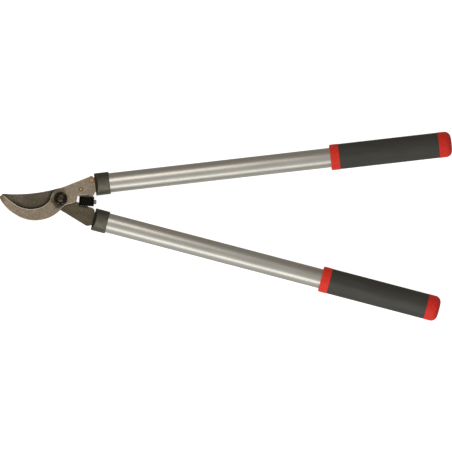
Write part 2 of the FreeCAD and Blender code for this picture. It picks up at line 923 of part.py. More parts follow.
loppers = make_loppers()
move_to_row_frame(loppers)
check_and_write(loppers)
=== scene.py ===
"""Bypass loppers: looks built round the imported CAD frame, on a pale floor in soft studio light.

Lengths inside materials are in millimetres of the part's own frame; meshes and places are in metres.
Each handle's finishes use coordinates turned with the handle, so that X runs from collar to end cap.
"""

import json
import math

import bmesh
import bpy
from mathutils import Matrix, Vector

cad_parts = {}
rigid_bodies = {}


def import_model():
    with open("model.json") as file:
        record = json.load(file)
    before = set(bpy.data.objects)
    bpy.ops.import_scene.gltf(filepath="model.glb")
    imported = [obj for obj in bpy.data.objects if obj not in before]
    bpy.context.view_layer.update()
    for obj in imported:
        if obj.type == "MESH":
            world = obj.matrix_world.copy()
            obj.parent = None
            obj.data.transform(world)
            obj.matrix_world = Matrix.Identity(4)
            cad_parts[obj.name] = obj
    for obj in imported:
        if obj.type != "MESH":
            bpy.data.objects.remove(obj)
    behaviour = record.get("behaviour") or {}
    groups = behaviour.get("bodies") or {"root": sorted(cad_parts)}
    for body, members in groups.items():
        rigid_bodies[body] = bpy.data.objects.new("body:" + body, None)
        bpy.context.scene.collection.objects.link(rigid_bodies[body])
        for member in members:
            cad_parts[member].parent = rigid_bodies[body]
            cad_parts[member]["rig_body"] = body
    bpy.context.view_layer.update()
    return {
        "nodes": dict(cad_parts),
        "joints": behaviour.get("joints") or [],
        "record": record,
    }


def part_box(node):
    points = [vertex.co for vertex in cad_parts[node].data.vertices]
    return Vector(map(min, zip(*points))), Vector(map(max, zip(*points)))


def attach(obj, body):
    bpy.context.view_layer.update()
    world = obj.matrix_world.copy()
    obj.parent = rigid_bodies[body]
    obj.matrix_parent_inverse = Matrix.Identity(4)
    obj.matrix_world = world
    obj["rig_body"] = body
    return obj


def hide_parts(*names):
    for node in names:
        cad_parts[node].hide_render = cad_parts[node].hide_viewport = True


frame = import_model()

MM = 0.001
HANDLES = ("upper", "lower")
PIVOT = Vector(frame["joints"][0]["pos_m"])
MOUNTS = {mount["name"]: mount for mount in frame["record"]["mounts"]}
AXES = {handle: Vector(MOUNTS[f"{handle}_butt"]["axis"]) for handle in HANDLES}
BUTTS = {handle: Vector(MOUNTS[f"{handle}_butt"]["pos_m"]) for handle in HANDLES}
SLOTS = {node: item.data.materials[0].name for node, item in frame["nodes"].items()}

# Colours are linear red, green and blue. Where there are two, a texture or a direction mixes them.
HOOK_TANS = ((0.284, 0.238, 0.174), (0.346, 0.272, 0.212))
HOOK_PITS = (0.13, 0.075, 0.04)
HOOK_STAIN = (0.135, 0.110, 0.070)
NUT_PAINTED_SHADOW = (0.060, 0.046, 0.032)
WASHER_EDGE_DARK = (0.035, 0.028, 0.018)
RIVET_STAIN_AND_SHADOW = (0.15, 0.095, 0.045)
HOOK_EDGE_SHADE = (0.115, 0.080, 0.045)
RUBBED_STEEL_AND_HIGHLIGHT = ((0.74, 0.63, 0.50), (1.0, 0.88, 0.72))
TIP_RUST = (0.21, 0.135, 0.062)
BLADE_COAT = ((0.098, 0.085, 0.055), (0.132, 0.106, 0.080))
BLADE_SCUFF = (0.19, 0.165, 0.13)
BLADE_RUST = (0.140, 0.114, 0.054)
BLADE_RIM = (0.040, 0.026, 0.014)
BLADE_JAW_SHADOW_AND_OIL = (0.020, 0.013, 0.005)
STRIKE_BLACKS = ((0.010, 0.009, 0.006), (0.040, 0.034, 0.024))
FASTENER_BLACKS = ((0.002, 0.0017, 0.0007), (0.026, 0.023, 0.014))
BOLT_END_BROWN = (0.066, 0.045, 0.030)
FASTENER_GLINT = (0.22, 0.22, 0.17)
FASTENER_RUBBED = (0.12, 0.115, 0.09)
PLAIN_GREYS = ((0.11, 0.105, 0.085), (0.40, 0.385, 0.34))
PLAIN_RUBBED = (0.58, 0.56, 0.51)
BRACKET_BROWNS = ((0.100, 0.083, 0.058), (0.185, 0.155, 0.112))
BRACKET_RUBBED = (0.20, 0.17, 0.13)
EAR_OXIDE_AND_SHADE = ((0.001, 0.001, 0.0005), (0.005, 0.0045, 0.002))
RIVET_COPPERS = {
    "rear": ((0.49, 0.25, 0.135), (0.63, 0.33, 0.18)),
    "front": ((0.60, 0.44, 0.29), (0.74, 0.55, 0.38)),
}
RIVET_TARNISH = (0.20, 0.105, 0.06)
RIVET_RIM = (0.13, 0.08, 0.045)
RUBBER_BLACKS = ((0.003, 0.0027, 0.0013), (0.010, 0.009, 0.006))
COLLAR_OLIVES = ((0.098, 0.093, 0.069), (0.128, 0.120, 0.093))
COLLAR_MOUTH_SHADE = (0.016, 0.015, 0.010)
PLUG_GREYS = ((0.08, 0.08, 0.08), (0.15, 0.15, 0.145))
TUBE_GREYS = ((0.52, 0.505, 0.475), (0.60, 0.585, 0.555))
TUBE_CLOUD = (0.47, 0.455, 0.42)
TUBE_MARKS = (0.24, 0.225, 0.20)
# The lower handle's rings and caps are painted lighter than the upper's: lit and shaded copies of one
# red plastic.
RING_REDS = {
    "upper": ((0.76, 0.027, 0.013), (0.87, 0.044, 0.025)),
    "lower": ((0.83, 0.029, 0.014), (0.95, 0.047, 0.026)),
}
CAP_REDS = {
    "upper": ((0.70, 0.020, 0.012), (0.82, 0.034, 0.021)),
    "lower": ((0.76, 0.023, 0.014), (0.90, 0.038, 0.024)),
}
GRIP_CHARCOALS = ((0.043, 0.041, 0.0365), (0.053, 0.051, 0.0455))
GRIP_GRAIN = (0.085, 0.083, 0.075)
GRIP_PORES = (0.018, 0.017, 0.015)

# Factors, by handle: painted shade on the collar's far side, a painted sheen along the grip's near
# side, and painted light on the whole grip.
COLLAR_FAR_SIDE_SHADE = {"upper": 0.42, "lower": 0.52}
GRIP_SHEEN = {"upper": 1.10, "lower": 1.42}
GRIP_LIT_TONE = {"upper": 1.0, "lower": 1.08}

# Millimetres from the middle of each rivet to its dark rim, and to the end of the stain and painted
# shadow round it.
RIVET_RADIUS = {"rear": 3.4, "front": 1.9}
RIVET_STAIN_RADIUS = {"rear": 5.0, "front": 4.2}

# Millimetres along X from the pivot: the middle of the hook's boss, and where the jaw's parts begin.
HOOK_BOSS = -8.0
BLADE_TIP_PALE = (-64.0, -46.0)
JAW_BEHIND = (2.0, -8.0)
JAW_AHEAD = (-84.0, -60.0)

# Millimetres by which each piece's hard edges are rounded. The other pieces keep the CAD's shape.
ROUNDING = {
    "hook_blade": 0.3,
    "cutting_blade": 0.12,
    "pivot_bolt": 0.4,
    "pivot_nut": 0.3,
    "lock_washer": 0.15,
    "thrust_washer": 0.25,
    "stop_bracket": 0.25,
    "stop_bumper": 0.3,
    "stop_pin": 0.2,
    "strike_lug": 0.1,
    "bracket_rivet_rear": 0.2,
    "bracket_rivet_front": 0.2,
    "collar_upper": 0.5,
    "collar_lower": 0.5,
    "grip_ring_upper": 0.35,
    "grip_ring_lower": 0.35,
}
SHARP_ANGLE = math.radians(30)
FLAT_ANGLE = math.radians(0.6)
SAME_POINT = 0.002 * MM


# ---------------------------------------------------------------------------------------------------
# Materials


class Finish:
    """One node material: a Principled shader and textures laid in millimetres from a given origin."""

    def __init__(self, name, origin=PIVOT, along=Vector((1, 0, 0))):
        self.material = bpy.data.materials.new(name)
        self.material.use_nodes = True
        self.tree = self.material.node_tree
        self.shader = self.tree.nodes["Principled BSDF"]
        turn = -math.atan2(along.y, along.x)
        self.place = self.node("ShaderNodeMapping")
        self.place.inputs["Scale"].default_value = (1 / MM,) * 3
        self.place.inputs["Rotation"].default_value = (0, 0, turn)
        self.place.inputs["Location"].default_value = -(Matrix.Rotation(turn, 3, "Z") @ origin) / MM
        self.own = self.node("ShaderNodeTexCoord")
        self.link(self.own.outputs["Object"], self.place.inputs["Vector"])

    def node(self, kind, **settings):
        """A new shader node with its settings."""
        made = self.tree.nodes.new(kind)
        for key, value in settings.items():
            setattr(made, key, value)
        return made

    def link(self, start, end):
        """Connects an output to an input."""
        self.tree.links.new(start, end)

    def feed(self, socket, value):
        """Connects an output to a socket, or sets the socket to a plain value or colour."""
        if isinstance(value, bpy.types.NodeSocket):
            self.link(value, socket)
        elif socket.type == "RGBA":
            socket.default_value = (*value, 1.0)
        else:
            socket.default_value = value

    def stretched(self, stretch):
        """Texture coordinates in millimetres, with each axis divided by how far marks run along it."""
        mapping = self.node("ShaderNodeMapping")
        mapping.inputs["Scale"].default_value = tuple(1 / s for s in stretch)
        self.link(self.place.outputs[0], mapping.inputs["Vector"])
        return mapping.outputs[0]

    def noise(self, size, detail=4.0, stretch=(1, 1, 1), rough=0.55):
        """Soft noise whose marks are about size millimetres across."""
        texture = self.node("ShaderNodeTexNoise")
        texture.inputs["Scale"].default_value = 1 / size
        texture.inputs["Detail"].default_value = detail
        texture.inputs["Roughness"].default_value = rough
        self.link(self.stretched(stretch), texture.inputs["Vector"])
        return texture.outputs["Fac"]

    def cells(self, size):
        """Distance from the middle of each cell, for pits and specks about size millimetres apart."""
        texture = self.node("ShaderNodeTexVoronoi")
        texture.inputs["Scale"].default_value = 1 / size
        self.link(self.place.outputs[0], texture.inputs["Vector"])
        return texture.outputs["Distance"]

    def span(self, value, low, high, start=0.0, end=1.0):
        """Maps low..high of a value to start..end, smoothly and clamped."""
        mapped = self.node("ShaderNodeMapRange", interpolation_type="SMOOTHSTEP")
        self.feed(mapped.inputs["Value"], value)
        for key, number in (("From Min", low), ("From Max", high), ("To Min", start), ("To Max", end)):
            mapped.inputs[key].default_value = number
        return mapped.outputs["Result"]

    def math(self, operation, first, second=0.0):
        """The result of one operation on two values."""
        result = self.node("ShaderNodeMath", operation=operation)
        self.feed(result.inputs[0], first)
        self.feed(result.inputs[1], second)
        return result.outputs[0]

    def times(self, first, second):
        """The product of two values."""
        return self.math("MULTIPLY", first, second)

    def blend(self, share, under, over, kind="MIX"):
        """The colour over laid on the colour under by the given share."""
        mixed = self.node("ShaderNodeMix", data_type="RGBA", blend_type=kind)
        self.feed(mixed.inputs["Factor"], share)
        self.feed(mixed.inputs["A"], under)
        self.feed(mixed.inputs["B"], over)
        return mixed.outputs["Result"]

    def mix(self, share, pair):
        """Between the two colours of a pair, by the given share of the second."""
        return self.blend(share, *pair)

    def shade(self, colour, factor):
        """The colour made darker or lighter by a factor, which may be above 1."""
        return self.blend(1.0, colour, factor, "MULTIPLY")

    def coordinate(self, axis):
        """One coordinate in millimetres: X, Y or Z."""
        parts = self.node("ShaderNodeSeparateXYZ")
        self.link(self.place.outputs[0], parts.inputs[0])
        return parts.outputs[axis]

    def radius(self, x=0.0, y=0.0):
        """Distance in millimetres from the vertical axis at (x, y)."""
        flat = self.node("ShaderNodeVectorMath", operation="MULTIPLY_ADD")
        self.link(self.place.outputs[0], flat.inputs[0])
        flat.inputs[1].default_value = (1, 1, 0)
        flat.inputs[2].default_value = (-x, -y, 0)
        length = self.node("ShaderNodeVectorMath", operation="LENGTH")
        self.link(flat.outputs[0], length.inputs[0])
        return length.outputs["Value"]

    def edges(self, width):
        """Near 1 within about width millimetres of an edge, and 0 on flat faces."""
        rounded = self.node("ShaderNodeBevel", samples=6)
        rounded.inputs["Radius"].default_value = width * MM
        geometry = self.node("ShaderNodeNewGeometry")
        facing = self.node("ShaderNodeVectorMath", operation="DOT_PRODUCT")
        self.link(rounded.outputs[0], facing.inputs[0])
        self.link(geometry.outputs["Normal"], facing.inputs[1])
        return self.span(facing.outputs["Value"], 1.0, 0.9)

    def facing(self, direction):
        """How squarely the surface faces a direction of the part's own frame: 1 fully, 0 edge-on."""
        dot = self.node("ShaderNodeVectorMath", operation="DOT_PRODUCT")
        self.link(self.own.outputs["Normal"], dot.inputs[0])
        dot.inputs[1].default_value = direction
        return dot.outputs["Value"]

    def chamfers(self):
        """1 on faces that slope half-way up, as broken edges do, and 0 on flat and upright faces."""
        up = self.facing((0, 0, 1))
        return self.times(self.span(up, 0.95, 0.85), self.span(up, 0.3, 0.55))

    def crevices(self, reach, low, high):
        """Near 1 in corners against another surface within reach millimetres, and 0 in the open."""
        open_sky = self.node("ShaderNodeAmbientOcclusion", samples=12)
        open_sky.inputs["Distance"].default_value = reach * MM
        return self.span(open_sky.outputs["AO"], 1 - low, 1 - high)

    def bumps(self, *layers):
        """Stacks (height, strength, depth in millimetres) layers and feeds the shader's normal."""
        normal = None
        for height, strength, depth in layers:
            bump = self.node("ShaderNodeBump")
            bump.inputs["Strength"].default_value = strength
            bump.inputs["Distance"].default_value = depth * MM
            self.link(height, bump.inputs["Height"])
            if normal:
                self.link(normal, bump.inputs["Normal"])
            normal = bump.outputs["Normal"]
        self.link(normal, self.shader.inputs["Normal"])

    def finish(self, **sockets):
        """Sets the shader's sockets by name, with _ for a space, and returns the material."""
        for key, value in sockets.items():
            self.feed(self.shader.inputs[key.replace("_", " ")], value)
        return self.material


def middle(node):
    """The middle of a CAD node's box."""
    return sum(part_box(node), Vector()) / 2


def stain_round_nut(steel, colour):
    """A ragged stain on the far side of the nut, a painted shadow of the nut on its near side, and a
    darker ring just outside the washer.
    """
    ragged = steel.span(steel.noise(4.0, 4.0), 0.3, 0.7, -2.0, 2.0)
    far_side = steel.math("ADD", steel.radius(-4.0, 11.0), ragged)
    colour = steel.blend(steel.span(far_side, 5.0, 12.0, 0.75, 0.0), colour, HOOK_STAIN)
    # Painted shadow of the nut, soft and ragged, on its near side.
    near_side = steel.math("ADD", steel.radius(-2.4, -3.6), ragged)
    colour = steel.blend(steel.span(near_side, 8.0, 14.0, 0.9, 0.0), colour, NUT_PAINTED_SHADOW)
    # A darker ring in the plate just outside the washer.
    return steel.blend(steel.span(steel.radius(), 9.6, 10.6, 0.85, 0.0), colour, WASHER_EDGE_DARK)


def stain_round_rivets(steel, colour):
    """A brown ring in the plate round each rivet: tarnish stain with a painted shadow of the rivet's
    head.
    """
    for place, reach in RIVET_STAIN_RADIUS.items():
        rivet = (middle(f"bracket_rivet_{place}") - PIVOT) / MM
        # Tarnish stain and painted shadow of the rivet's head, in one ring.
        stain = steel.span(steel.radius(rivet.x, rivet.y), reach - 2.0, reach, 0.55, 0.0)
        colour = steel.blend(stain, colour, RIVET_STAIN_AND_SHADOW)
    return colour


def hook_steel():
    """Forged plate with a thin tan oxide, stained round its fasteners and worn on its edges; painted
    shadow round the nut and rivets, painted shade along its edges and a painted highlight on its
    chamfers.
    """
    steel = Finish("hook_steel")
    colour = steel.mix(steel.span(steel.noise(9.0, 3.0), 0.38, 0.64), HOOK_TANS)
    patches = steel.noise(2.4, 4.0, rough=0.65)
    colour = steel.shade(colour, steel.span(patches, 0.3, 0.7, 0.76, 1.28))
    grain = steel.noise(1.1, 3.0)
    colour = steel.shade(colour, steel.span(grain, 0.3, 0.7, 0.88, 1.12))
    pits = steel.span(steel.cells(4.2), 0.05, 0.2, 1.0, 0.0)
    pits = steel.times(pits, steel.span(steel.noise(7.0, 2.0), 0.47, 0.58))
    colour = steel.blend(steel.times(pits, 0.6), colour, HOOK_PITS)
    colour = stain_round_nut(steel, colour)
    colour = stain_round_rivets(steel, colour)
    # Painted shade along the plate's edges.
    colour = steel.blend(steel.times(steel.edges(1.0), 0.75), colour, HOOK_EDGE_SHADE)
    from_boss = steel.math("ABSOLUTE", steel.math("SUBTRACT", steel.coordinate("X"), HOOK_BOSS))
    off_boss = steel.span(from_boss, 7.0, 14.0, 0.25, 1.0)
    # Worn steel on the chamfers with a painted highlight, strongest where they face +Y and dulled near
    # the boss.
    painted_highlight = steel.times(steel.span(steel.facing((0, 1, 0)), 0.1, 0.5), off_boss)
    worn = steel.times(steel.chamfers(), off_boss)
    colour = steel.blend(steel.times(worn, 0.9), colour, steel.mix(painted_highlight, RUBBED_STEEL_AND_HIGHLIGHT))
    tip = (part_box("hook_blade")[0].x - PIVOT.x) / MM
    rust = steel.span(steel.coordinate("X"), tip + 4.5, tip + 10.0, 0.85, 0.0)
    colour = steel.blend(rust, colour, TIP_RUST)
    metal = steel.span(steel.times(steel.chamfers(), painted_highlight), 0.0, 1.0, 0.55, 0.0)
    rough = steel.span(steel.noise(2.2, 4.0), 0.25, 0.75, 0.42, 0.58)
    steel.bumps(
        (steel.noise(6.0, 3.0), 0.35, 0.35),
        (patches, 0.4, 0.2),
        (grain, 0.35, 0.12),
        (pits, 0.5, -0.12),
    )
    return steel.finish(Base_Color=colour, Metallic=metal, Roughness=rough)


def blade_steel():
    """Ground blade under a thin dark coat, scuffed in arcs round the pivot, with painted shadow and
    dark oil against the hook.
    """
    steel = Finish("blade_steel")
    colour = steel.mix(steel.span(steel.noise(12.0, 4.0, (2.2, 1, 1)), 0.36, 0.66), BLADE_COAT)
    patches = steel.noise(3.4, 4.0, rough=0.65)
    colour = steel.shade(colour, steel.span(patches, 0.3, 0.7, 0.74, 1.24))
    along = steel.coordinate("X")
    colour = steel.shade(colour, steel.span(along, *BLADE_TIP_PALE, 1.2, 0.95))
    grain = steel.noise(0.9, 3.0)
    colour = steel.shade(colour, steel.span(grain, 0.3, 0.7, 0.86, 1.14))
    rings = steel.node("ShaderNodeTexNoise", noise_dimensions="1D")
    rings.inputs["Scale"].default_value = 1.7
    rings.inputs["Detail"].default_value = 3.0
    steel.link(steel.radius(), rings.inputs["W"])
    scuffs = steel.span(rings.outputs["Fac"], 0.52, 0.74)
    worn = steel.span(steel.noise(9.0, 3.0), 0.42, 0.66, 0.0, 0.45)
    colour = steel.blend(steel.times(scuffs, worn), colour, BLADE_SCUFF)
    rust = steel.span(steel.noise(4.0, 4.0), 0.44, 0.62)
    on_tang = steel.span(along, 0.0, 8.0, 0.15, 0.6)
    colour = steel.blend(steel.times(rust, on_tang), colour, BLADE_RUST)
    colour = steel.blend(steel.times(steel.edges(0.9), 0.75), colour, BLADE_RIM)
    in_jaw = steel.times(steel.span(along, *JAW_BEHIND), steel.span(along, *JAW_AHEAD))
    # Painted contact shadow, with dark oil, where the hook's wall stands over the jaw.
    jaw_shadow_and_oil = steel.times(steel.crevices(8.0, 0.08, 0.30), in_jaw)
    colour = steel.blend(jaw_shadow_and_oil, colour, BLADE_JAW_SHADOW_AND_OIL)
    rough = steel.span(steel.noise(1.6, 4.0, (3, 1, 1)), 0.25, 0.75, 0.36, 0.52)
    steel.bumps((steel.noise(5.0, 3.0), 0.3, 0.25), (patches, 0.3, 0.12), (grain, 0.25, 0.08))
    return steel.finish(Base_Color=colour, Metallic=0.5, Roughness=rough)


def strike_steel():
    """The strike lug: the blade's steel, nearly black."""
    steel = Finish("strike_steel")
    patches = steel.noise(2.4, 4.0, rough=0.65)
    colour = steel.mix(steel.span(patches, 0.3, 0.7), STRIKE_BLACKS)
    rough = steel.span(patches, 0.3, 0.7, 0.45, 0.6)
    steel.bumps((patches, 0.4, 0.15))
    return steel.finish(Base_Color=colour, Metallic=0.4, Roughness=rough)


def black_fastener():
    """Oiled black oxide, worn to metal on a few corners, with painted glints on its chamfers and a
    brown middle to the bolt's end.
    """
    oxide = Finish("black_fastener")
    broad = oxide.noise(3.0, 5.0)
    colour = oxide.mix(oxide.span(broad, 0.35, 0.65), FASTENER_BLACKS)
    colour = oxide.blend(oxide.span(oxide.radius(), 3.6, 4.6, 0.9, 0.0), colour, BOLT_END_BROWN)
    # Painted glints on the chamfers that face the near and far lamps.
    near_side = oxide.span(oxide.facing((0.1, -0.99, 0)), 0.42, 0.62)
    far_side = oxide.span(oxide.facing((0.42, 0.91, 0)), 0.48, 0.64)
    painted_glints = oxide.times(oxide.chamfers(), oxide.math("MAXIMUM", near_side, far_side))
    colour = oxide.blend(painted_glints, colour, FASTENER_GLINT)
    wear_and_sheen = oxide.times(oxide.edges(0.5), oxide.span(oxide.noise(2.6, 3.0), 0.5, 0.66))
    colour = oxide.blend(wear_and_sheen, colour, FASTENER_RUBBED)
    rough = oxide.span(broad, 0.3, 0.7, 0.26, 0.42)
    oxide.bumps((oxide.noise(1.6, 4.0), 0.4, 0.12))
    return oxide.finish(Base_Color=colour, Metallic=0.6, Roughness=rough, Specular_IOR_Level=0.25)


def plain_steel():
    """Turned steel, dull, with fine grey specks."""
    steel = Finish("plain_steel")
    grain = steel.noise(0.9, 4.0, rough=0.65)
    colour = steel.mix(steel.span(grain, 0.32, 0.68), PLAIN_GREYS)
    colour = steel.blend(steel.times(steel.edges(0.4), 0.6), colour, PLAIN_RUBBED)
    rough = steel.span(grain, 0.3, 0.7, 0.34, 0.5)
    steel.bumps((grain, 0.4, 0.08))
    return steel.finish(Base_Color=colour, Metallic=0.7, Roughness=rough)


def bracket_steel():
    """Folded sheet under a dark brown oxide, nearly black on its ears with dark oxide and painted
    shade.
    """
    sheet = Finish("bracket_steel")
    broad = sheet.noise(4.0, 5.0)
    colour = sheet.mix(sheet.span(broad, 0.3, 0.7), BRACKET_BROWNS)
    wear_and_sheen = sheet.times(sheet.edges(0.6), sheet.span(sheet.noise(1.8, 3.0), 0.35, 0.6, 0.1, 0.6))
    colour = sheet.blend(wear_and_sheen, colour, BRACKET_RUBBED)
    fold = (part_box("stop_bumper")[1].y - PIVOT.y) / MM
    # Dark oxide with painted shade: the ears, low beside the rubber, nearly black.
    on_ears = sheet.span(sheet.coordinate("Y"), fold + 0.4, fold)
    colour = sheet.blend(on_ears, colour, sheet.mix(broad, EAR_OXIDE_AND_SHADE))
    sheet.bumps((broad, 0.3, 0.15), (sheet.noise(0.7, 2.0), 0.25, 0.05))
    rough = sheet.span(broad, 0.3, 0.7, 0.45, 0.6)
    return sheet.finish(Base_Color=colour, Metallic=0.4, Roughness=rough, Specular_IOR_Level=0.1)


def rivet_copper(place):
    """Dull coppered rivet, darker towards its rim, with brown tarnish in patches."""
    copper = Finish(f"rivet_copper_{place}", middle(f"bracket_rivet_{place}"))
    patches = copper.noise(1.8, 4.0)
    colour = copper.mix(copper.span(patches, 0.35, 0.7), RIVET_COPPERS[place])
    tarnish = copper.span(copper.noise(0.9, 4.0), 0.55, 0.75, 0.0, 0.6)
    colour = copper.blend(tarnish, colour, RIVET_TARNISH)
    radius = RIVET_RADIUS[place]
    colour = copper.blend(copper.span(copper.radius(), radius - 0.9, radius), colour, RIVET_RIM)
    rough = copper.span(patches, 0.3, 0.7, 0.4, 0.55)
    copper.bumps((patches, 0.4, 0.12))
    return copper.finish(Base_Color=colour, Metallic=0.6, Roughness=rough)


def stop_rubber():
    """Black moulded rubber with a fine skin grain and a little grey dust."""
    rubber = Finish("stop_rubber")
    dust = rubber.span(rubber.noise(3.0, 5.0), 0.45, 0.8, 0.0, 0.5)
    colour = rubber.mix(dust, RUBBER_BLACKS)
    rubber.bumps((rubber.noise(0.5, 3.0), 0.4, 0.08))
    rough = rubber.span(dust, 0.0, 0.5, 0.5, 0.72)
    return rubber.finish(Base_Color=colour, Roughness=rough, Specular_IOR_Level=0.08)


def on_handle(name, handle):
    """A finish whose X runs along a handle towards its butt, with its origin in the handle's axis."""
    return Finish(f"{name}_{handle}", BUTTS[handle], AXES[handle])


def collar_plastic(handle):
    """Olive-black nylon with a moulded grain and scuffs, with painted shade at the mouth, on the far
    side and down the near flank, and painted light on its near half.
    """
    nylon = on_handle("collar_plastic", handle)
    radius = (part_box(f"collar_{handle}")[1].z - PIVOT.z) / MM
    colour = nylon.mix(nylon.span(nylon.noise(7.0, 4.0), 0.35, 0.68), COLLAR_OLIVES)
    # Painted light and shade across the collar: lighter on the near half, darker on the far side and
    # down the near flank.
    across = nylon.coordinate("Y")
    far_side = nylon.span(across, -0.5 * radius, 0.75 * radius, 1.45, COLLAR_FAR_SIDE_SHADE[handle])
    colour = nylon.shade(colour, far_side)
    near_side = nylon.span(across, -0.56 * radius, -0.72 * radius, 1.0, 0.58)
    colour = nylon.shade(colour, near_side)
    grain = nylon.noise(0.6, 3.0)
    colour = nylon.shade(colour, nylon.span(grain, 0.3, 0.7, 0.85, 1.15))
    rubs = nylon.span(nylon.noise(3.0, 4.0, (0.6, 2.5, 2.5)), 0.5, 0.7, 0.86, 1.24)
    colour = nylon.shade(colour, rubs)
    # Painted shade on the faces at the mouth.
    mouth = nylon.span(nylon.facing(-AXES[handle]), 0.3, 0.6)
    colour = nylon.blend(mouth, colour, COLLAR_MOUTH_SHADE)
    rough = nylon.span(grain, 0.3, 0.7, 0.48, 0.6)
    nylon.bumps((nylon.noise(5.0, 3.0), 0.25, 0.2), (grain, 0.3, 0.06))
    return nylon.finish(Base_Color=colour, Roughness=rough, Specular_IOR_Level=0.35)


def plug_plastic():
    """Grey moulded plastic, faintly mottled."""
    plastic = Finish("plug_plastic")
    mottle = plastic.noise(3.0, 4.0)
    rough = plastic.span(mottle, 0.3, 0.7, 0.45, 0.6)
    plastic.bumps((mottle, 0.3, 0.1))
    return plastic.finish(Base_Color=plastic.mix(mottle, PLUG_GREYS), Roughness=rough)


def tube_aluminium(handle):
    """Satin aluminium, brushed along the tube, with faint handling marks."""
    metal = on_handle("tube_aluminium", handle)
    brushed = metal.noise(0.35, 3.0, (140, 1, 1))
    broad = metal.noise(16.0, 4.0, (3, 1, 1))
    colour = metal.mix(metal.span(brushed, 0.3, 0.7), TUBE_GREYS)
    colour = metal.blend(metal.span(broad, 0.4, 0.7, 0.0, 0.35), colour, TUBE_CLOUD)
    marks = metal.span(metal.noise(1.1, 4.0, (1, 9, 9)), 0.66, 0.76, 0.0, 0.35)
    colour = metal.blend(marks, colour, TUBE_MARKS)
    rough = metal.span(brushed, 0.25, 0.75, 0.32, 0.44)
    metal.bumps((brushed, 0.10, 0.05), (broad, 0.12, 0.15))
    return metal.finish(Base_Color=colour, Metallic=1.0, Roughness=rough)


def grip_red(handle, part, reds):
    """Satin red plastic, slightly mottled, with painted shade where it turns towards the butt."""
    plastic = on_handle(f"grip_red_{part}", handle)
    mottle = plastic.noise(2.6, 4.0)
    colour = plastic.mix(plastic.span(mottle, 0.3, 0.7), reds)
    # Painted shade where the surface turns towards the butt.
    colour = plastic.shade(colour, plastic.span(plastic.facing(AXES[handle]), 0.3, 1.0, 1.0, 0.52))
    plastic.bumps((mottle, 0.3, 0.15), (plastic.noise(0.5, 2.0), 0.25, 0.04))
    rough = plastic.span(mottle, 0.3, 0.7, 0.45, 0.6)
    return plastic.finish(Base_Color=colour, Roughness=rough, Specular_IOR_Level=0.3)


def grip_charcoal(handle):
    """Charcoal foam sleeve: fine closed cells, matt, with painted shade on its far side and a painted
    sheen along its near side.
    """
    foam = on_handle("grip_charcoal", handle)
    colour = foam.mix(foam.span(foam.noise(9.0, 4.0, (6, 1, 1)), 0.3, 0.7), GRIP_CHARCOALS)
    # Painted shade on the far side, a painted sheen along the near side, and the lower grip painted
    # lighter.
    colour = foam.shade(colour, foam.span(foam.facing((0, 1, 0)), 0.4, 0.95, 1.0, 0.84))
    near_side = foam.facing((0, -1, 0))
    wear_and_sheen = foam.times(foam.span(near_side, -0.25, 0.35), foam.span(near_side, 0.9, 0.4))
    colour = foam.shade(colour, foam.span(wear_and_sheen, 0.0, 1.0, 1.0, GRIP_SHEEN[handle]))
    colour = foam.shade(colour, (GRIP_LIT_TONE[handle],) * 3)
    grain = foam.noise(0.9, 3.0)
    colour = foam.blend(foam.span(grain, 0.4, 0.8, 0.0, 0.5), colour, GRIP_GRAIN)
    pores = foam.span(foam.cells(1.1), 0.06, 0.26, 1.0, 0.0)
    colour = foam.blend(foam.times(pores, 0.35), colour, GRIP_PORES)
    rough = foam.span(grain, 0.3, 0.7, 0.68, 0.86)
    foam.bumps((foam.noise(7.0, 3.0), 0.3, 0.3), (grain, 0.5, 0.12), (pores, 0.4, -0.1))
    return foam.finish(Base_Color=colour, Roughness=rough)


def make_materials():
    """Every node's material, by node name."""
    steels = (hook_steel, blade_steel, black_fastener, plain_steel, bracket_steel)
    shared = {make.__name__: make() for make in (*steels, stop_rubber, plug_plastic)}
    found = {node: shared[slot] for node, slot in SLOTS.items() if slot in shared}
    found["strike_lug"] = strike_steel()
    for place in RIVET_COPPERS:
        found[f"bracket_rivet_{place}"] = rivet_copper(place)
    for handle in HANDLES:
        found[f"collar_{handle}"] = collar_plastic(handle)
        found[f"tube_{handle}"] = tube_aluminium(handle)
        found[f"grip_sleeve_{handle}"] = grip_charcoal(handle)
        found[f"grip_ring_{handle}"] = grip_red(handle, "ring", RING_REDS[handle])
        found[f"end_cap_{handle}"] = grip_red(handle, "cap", CAP_REDS[handle])
    return found


# ---------------------------------------------------------------------------------------------------
# Pieces


def new_piece(name, mesh, node, material):
    """Makes the mesh an object that stands for a CAD node and rides on that node's body."""
    data = bpy.data.meshes.new(name)
    mesh.to_mesh(data)
    mesh.free()
    for polygon in data.polygons:
        polygon.use_smooth = True
    data.materials.append(material)
    piece = bpy.data.objects.new(name, data)
    bpy.context.scene.collection.objects.link(piece)
    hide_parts(node)
    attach(piece, frame["nodes"][node]["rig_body"])
    return piece


def round_edges(piece, width):
    """Rounds every edge sharper than the sharp angle, and shades flat faces flat."""
    bevel = piece.modifiers.new("rounded_edges", "BEVEL")
    bevel.width = width * MM
    bevel.segments = 2
    bevel.limit_method = "ANGLE"
    bevel.angle_limit = SHARP_ANGLE
    bevel.miter_outer = "MITER_ARC"
    normals = piece.modifiers.new("flat_faces", "WEIGHTED_NORMAL")
    normals.keep_sharp = False


def make_rounded(node, material, width):
    """A copy of a CAD node's shape with clean faces and rounded edges."""
    mesh = bmesh.new()
    mesh.from_mesh(frame["nodes"][node].data)
    bmesh.ops.remove_doubles(mesh, verts=mesh.verts, dist=SAME_POINT)
    bmesh.ops.dissolve_limit(mesh, angle_limit=FLAT_ANGLE, verts=mesh.verts, edges=mesh.edges)
    piece = new_piece(f"{node}_rounded", mesh, node, material)
    for attribute in [a for a in piece.data.attributes if a.name == "custom_normal"]:
        piece.data.attributes.remove(attribute)
    round_edges(piece, width)


